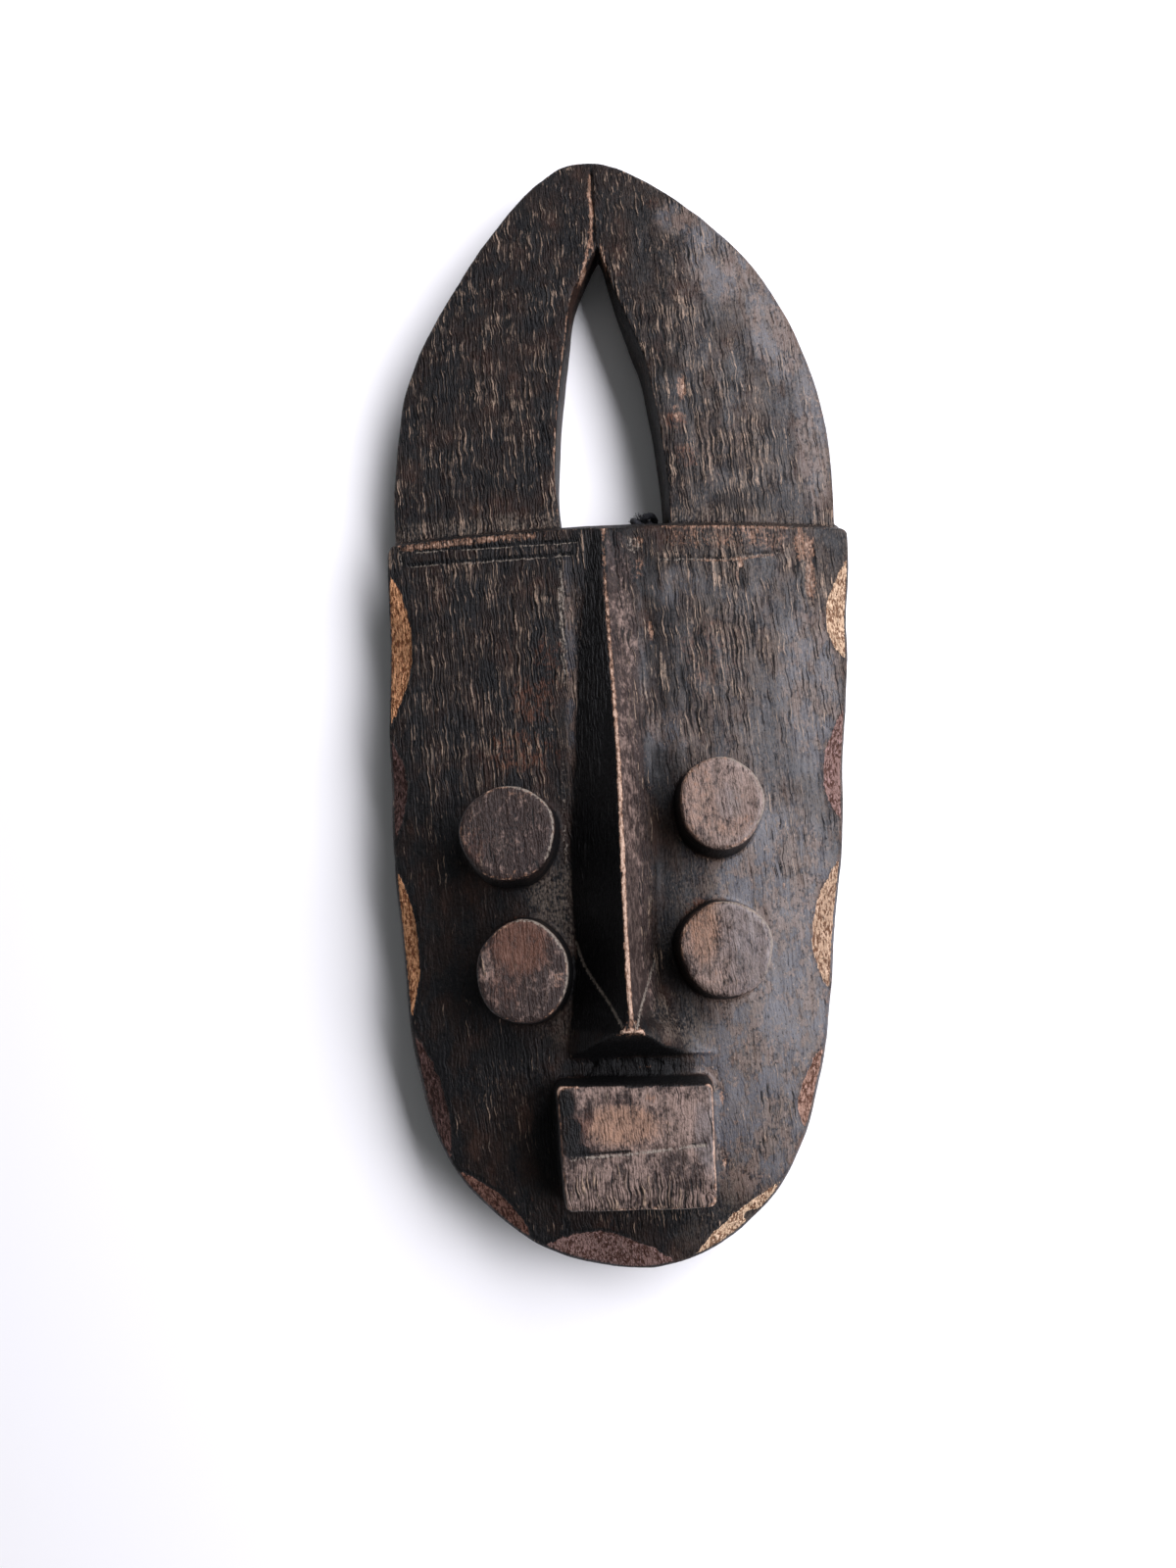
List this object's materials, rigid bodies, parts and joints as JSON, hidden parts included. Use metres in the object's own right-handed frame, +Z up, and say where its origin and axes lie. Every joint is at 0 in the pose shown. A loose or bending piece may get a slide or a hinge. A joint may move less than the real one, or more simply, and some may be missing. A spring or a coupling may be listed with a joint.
{
  "type": "grebo mask",
  "caption": "Carved wooden face mask lying on its back: horns joined above an open window, long nose ridge, round peg eyes, block mouth, scalloped rim, hollow back.",
  "frame": {"origin": "centre of the mask's plan outline, on the level of its back rim", "axes": "+Y towards the tips of the horns, +X to the viewer's right, +Z up out of the face"},
  "size_m": [0.1836, 0.4472, 0.0707],
  "materials": {
    "dark_wood": "stained nearly black, fibres showing pale, edges worn brown, rim crescents in ochre and dark red",
    "black_cord": "matt twisted cord"
  },
  "bodies": {
    "root": {"carved_mask": "dark_wood", "hanging_cord": "black_cord", "cord_knot": "black_cord"}
  },
  "joints": []
}
